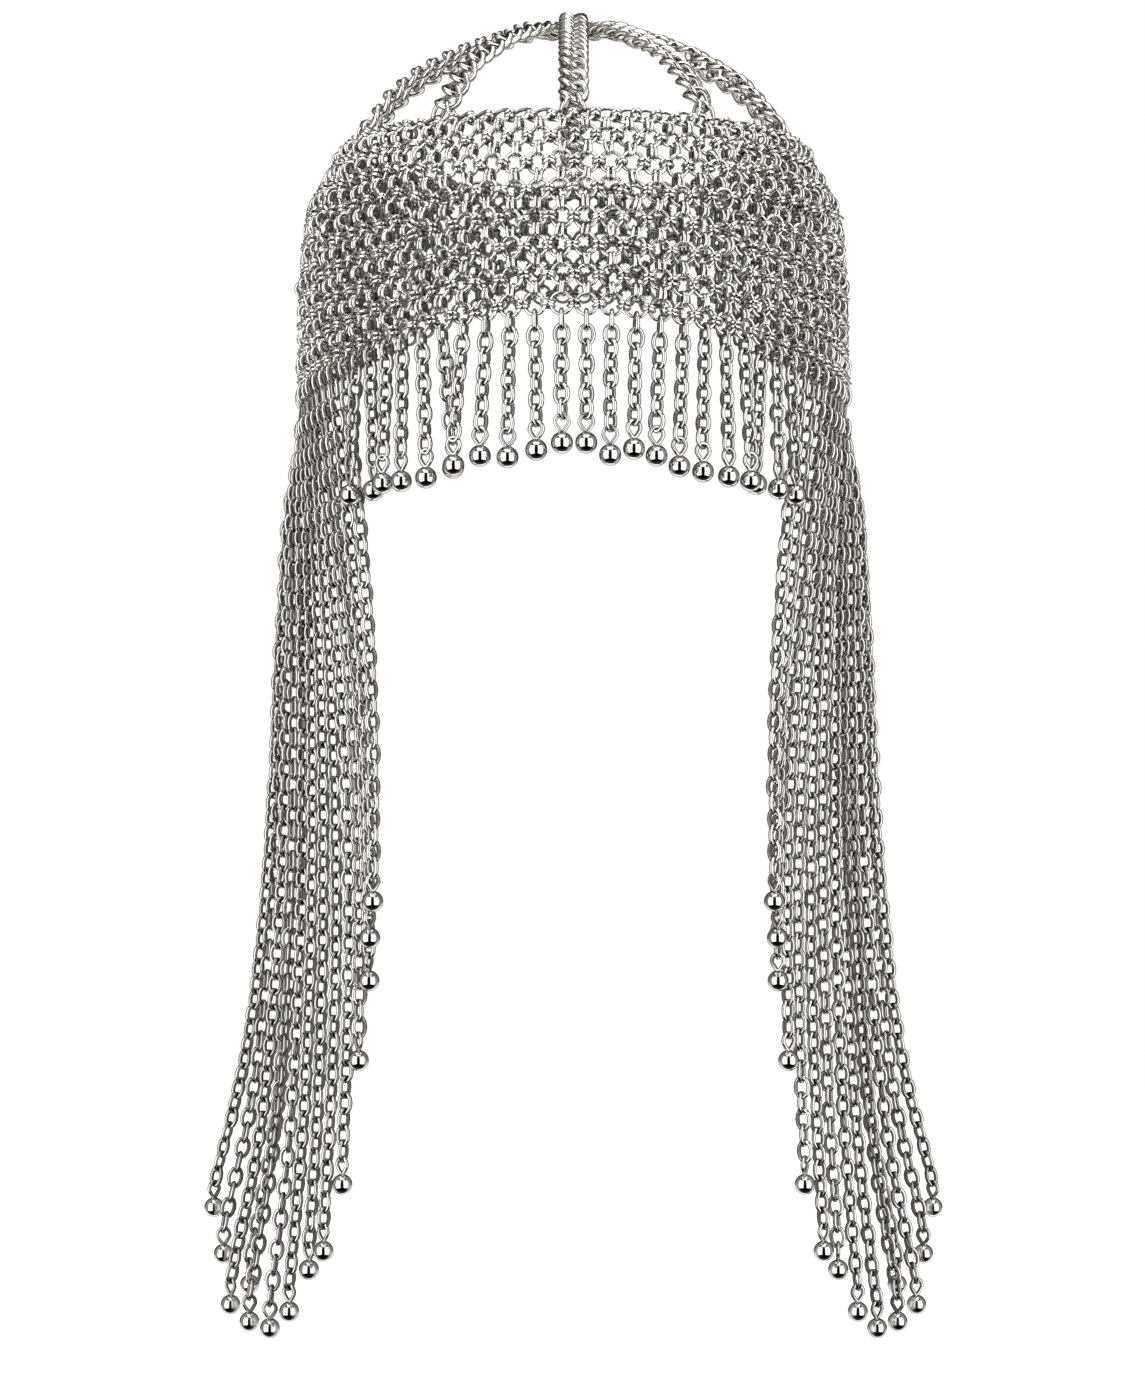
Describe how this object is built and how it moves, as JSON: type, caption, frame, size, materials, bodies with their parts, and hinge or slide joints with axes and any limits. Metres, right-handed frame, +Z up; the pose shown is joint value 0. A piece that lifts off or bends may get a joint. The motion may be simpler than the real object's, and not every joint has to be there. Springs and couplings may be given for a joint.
{
  "type": "head chain",
  "caption": "Ring-mesh head band with wide curb chains over the crown, a short ball-ended chain fringe across the front and a long ball-ended chain curtain at each side",
  "frame": {"origin": "Under the middle of the crown, where the crossing chains rest on top of the head", "axes": "+Z up along the longest extent, -Y towards the front where the short fringe hangs, +X to the viewer's right seen from the front"},
  "size_m": [0.2262, 0.2002, 0.3956],
  "materials": {
    "mesh_metal": "polished silver-coloured plate, darker between the rings",
    "crown_metal": "polished silver-coloured plate",
    "strand_metal": "polished silver-coloured plate, mirror bright on the balls"
  },
  "bodies": {
    "root": {"net_band": "mesh_metal", "crown_chain_center": "crown_metal", "crown_chain_front_inner_left": "crown_metal", "crown_chain_front_outer_left": "crown_metal", "crown_chain_side_left": "crown_metal", "crown_chain_front_inner_right": "crown_metal", "crown_chain_front_outer_right": "crown_metal", "crown_chain_side_right": "crown_metal", "fringe_strand_01": "strand_metal", "fringe_strand_02": "strand_metal", "fringe_strand_03": "strand_metal", "fringe_strand_04": "strand_metal", "fringe_strand_05": "strand_metal", "fringe_strand_06": "strand_metal", "fringe_strand_07": "strand_metal", "fringe_strand_08": "strand_metal", "fringe_strand_09": "strand_metal", "fringe_strand_10": "strand_metal", "fringe_strand_11": "strand_metal", "fringe_strand_12": "strand_metal", "fringe_strand_13": "strand_metal", "fringe_strand_14": "strand_metal", "fringe_strand_15": "strand_metal", "fringe_strand_16": "strand_metal", "fringe_strand_17": "strand_metal", "fringe_strand_18": "strand_metal", "fringe_strand_19": "strand_metal", "fringe_strand_20": "strand_metal", "fringe_strand_21": "strand_metal", "fringe_strand_22": "strand_metal", "side_strand_left_01": "strand_metal", "side_strand_left_02": "strand_metal", "side_strand_left_03": "strand_metal", "side_strand_left_04": "strand_metal", "side_strand_left_05": "strand_metal", "side_strand_left_06": "strand_metal", "side_strand_left_07": "strand_metal", "side_strand_left_08": "strand_metal", "side_strand_left_09": "strand_metal", "side_strand_left_10": "strand_metal", "side_strand_left_11": "strand_metal", "side_strand_left_12": "strand_metal", "side_strand_left_13": "strand_metal", "side_strand_left_14": "strand_metal", "side_strand_right_01": "strand_metal", "side_strand_right_02": "strand_metal", "side_strand_right_03": "strand_metal", "side_strand_right_04": "strand_metal", "side_strand_right_05": "strand_metal", "side_strand_right_06": "strand_metal", "side_strand_right_07": "strand_metal", "side_strand_right_08": "strand_metal", "side_strand_right_09": "strand_metal", "side_strand_right_10": "strand_metal", "side_strand_right_11": "strand_metal", "side_strand_right_12": "strand_metal", "side_strand_right_13": "strand_metal", "side_strand_right_14": "strand_metal"}
  },
  "joints": []
}
